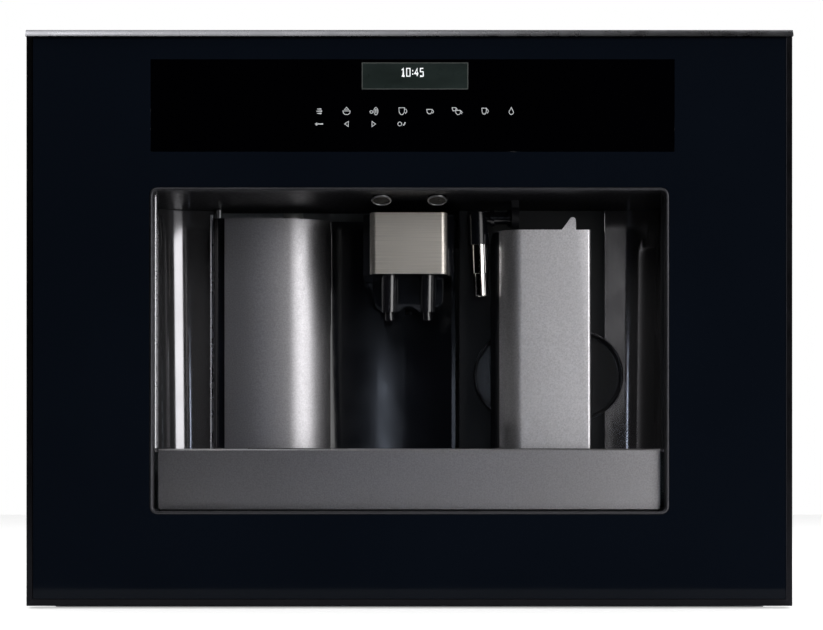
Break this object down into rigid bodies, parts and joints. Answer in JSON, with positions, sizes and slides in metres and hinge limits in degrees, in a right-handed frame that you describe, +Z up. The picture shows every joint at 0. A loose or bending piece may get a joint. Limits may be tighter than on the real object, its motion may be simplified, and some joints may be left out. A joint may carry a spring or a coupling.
{
  "type": "built-in coffee machine",
  "caption": "Built-in bean-to-cup coffee machine: black glass front, open cup bay with spout door, milk container and drip tray, on pull-out rails.",
  "frame": {"origin": "middle of the width and depth, on the underside of the cradle, which lies on the cabinet shelf", "axes": "+X to the right seen from the front, +Y into the cabinet, +Z up; the fascia looks along -Y"},
  "size_m": [0.594, 0.4, 0.448],
  "materials": {
    "black_glass": "black back-printed glass",
    "control_glass": "black touch glass",
    "black_gloss": "gloss black",
    "black_matte": "fine grain black",
    "white_plastic": "plain off-white",
    "clear_plastic": "clear smoked",
    "board": "circuit board",
    "trim": "dark anodised",
    "satin_grey": "bead-blasted satin",
    "brushed": "fine horizontal brushing",
    "chrome": "polished",
    "steel": "plain steel",
    "aluminium": "die cast",
    "galvanised": "zinc-coated sheet"
  },
  "bodies": {
    "cradle": {"cradle_plate": "galvanised", "fixed_rail_left": "galvanised", "fixed_rail_right": "galvanised"},
    "middle_rails": {"middle_rail_left": "steel", "middle_rail_right": "steel"},
    "machine": {"inner_rail_left": "galvanised", "inner_rail_right": "galvanised", "chassis_base": "galvanised", "side_panel_left": "galvanised", "side_panel_right": "galvanised", "rear_panel": "galvanised", "top_cover": "galvanised", "power_inlet": "black_matte", "fascia_frame": "trim", "fascia_glass": "black_glass", "control_glass": "control_glass", "display_module": "black_matte", "control_board": "board", "bay_bezel": "trim", "bay_ceiling": "black_gloss", "lamp_left": "trim", "lamp_right": "trim", "bay_wall_left": "black_gloss", "bay_wall_right": "black_gloss", "milk_bay_back": "black_gloss", "grip_cup": "black_gloss", "bay_floor": "black_matte", "door_hinge_pin": "steel", "bean_hopper": "clear_plastic", "grinder_housing": "black_matte", "grinder_motor": "steel", "funnel_chute": "black_matte", "brew_frame": "black_matte", "thermoblock": "aluminium", "water_pump": "steel"},
    "service_door": {"door_front_skin": "satin_grey", "door_shell": "black_gloss"},
    "coffee_spout": {"spout_housing": "black_gloss", "spout_front_plate": "brushed", "spout_nozzles": "black_gloss"},
    "milk_container": {"milk_jug": "black_matte", "milk_jug_cover": "satin_grey", "milk_lid": "black_matte"},
    "froth_control": {"froth_dial": "black_matte"},
    "milk_spout": {"milk_elbow": "black_gloss", "milk_sleeve": "chrome"},
    "milk_outlet": {"milk_nozzle": "chrome"},
    "drip_tray": {"drip_basin": "black_matte", "tray_front": "satin_grey", "tray_grille": "steel", "grounds_bin": "black_matte"},
    "level_float": {"tray_float": "white_plastic"},
    "tank": {"water_tank": "clear_plastic", "tank_lid": "black_matte"},
    "bean_cover": {"bean_lid": "black_matte"},
    "funnel_cover": {"funnel_lid": "black_matte"},
    "grind_setting": {"grind_knob": "black_matte"},
    "rocker": {"main_switch": "black_matte"},
    "piston": {"brew_piston": "white_plastic"},
    "burr": {"grinder_burr": "steel"}
  },
  "joints": [
    {"name": "machine_pull_out", "type": "slide", "parent": "cradle", "child": "machine", "axis": [0, -1, 0], "range_m": [0, 0.3]},
    {"name": "middle_rail_slide", "type": "slide", "parent": "cradle", "child": "middle_rails", "axis": [0, -1, 0], "range_m": [0, 0.15]},
    {"name": "door_hinge", "type": "hinge", "parent": "machine", "child": "service_door", "pos_m": [-0.1575, -0.092, 0.22], "axis": [0, 0, -1], "range_deg": [0, 90]},
    {"name": "spout_height", "type": "slide", "parent": "service_door", "child": "coffee_spout", "axis": [0, 0, -1], "range_m": [0, 0.035]},
    {"name": "milk_container_slide", "type": "slide", "parent": "machine", "child": "milk_container", "axis": [0, -1, 0], "range_m": [0, 0.15]},
    {"name": "froth_dial_turn", "type": "hinge", "parent": "milk_container", "child": "froth_control", "pos_m": [0.108, -0.122, 0.3], "axis": [0, 0, 1], "range_deg": [-40, 40]},
    {"name": "milk_spout_swing", "type": "hinge", "parent": "machine", "child": "milk_spout", "pos_m": [0.0547, -0.14, 0.31], "axis": [1, 0, 0], "range_deg": [-25, 25]},
    {"name": "milk_outlet_slide", "type": "slide", "parent": "milk_spout", "child": "milk_outlet", "axis": [0.0523, 0, -0.9986], "range_m": [0, 0.025]},
    {"name": "drip_tray_slide", "type": "slide", "parent": "machine", "child": "drip_tray", "axis": [0, -1, 0], "range_m": [0, 0.25]},
    {"name": "float_rise", "type": "slide", "parent": "drip_tray", "child": "level_float", "axis": [0, 0, 1], "range_m": [0, 0.008]},
    {"name": "water_tank_slide", "type": "slide", "parent": "machine", "child": "tank", "axis": [1, 0, 0], "range_m": [0, 0.1]},
    {"name": "bean_lid_hinge", "type": "hinge", "parent": "machine", "child": "bean_cover", "pos_m": [0.035, 0.094, 0.4418], "axis": [-1, 0, 0], "range_deg": [0, 80]},
    {"name": "funnel_lid_hinge", "type": "hinge", "parent": "machine", "child": "funnel_cover", "pos_m": [-0.1, -0.007, 0.4418], "axis": [-1, 0, 0], "range_deg": [0, 85]},
    {"name": "grind_knob_turn", "type": "hinge", "parent": "machine", "child": "grind_setting", "pos_m": [0.16, 0.1, 0.444], "axis": [0, 0, 1], "range_deg": [-150, 150]},
    {"name": "main_switch_rock", "type": "hinge", "parent": "machine", "child": "rocker", "pos_m": [-0.2, 0.19075, 0.11], "axis": [1, 0, 0], "range_deg": [-8, 8]},
    {"name": "brew_piston_press", "type": "slide", "parent": "machine", "child": "piston", "axis": [0, 0, -1], "range_m": [0, 0.05]},
    {"name": "grinder_burr_spin", "type": "hinge", "parent": "machine", "child": "burr", "pos_m": [0.035, 0.02, 0.32], "axis": [0, 0, 1], "continuous": true}
  ],
  "couplings": [
    {"joint": "middle_rail_slide", "follows": "machine_pull_out", "ratio": 0.5}
  ]
}
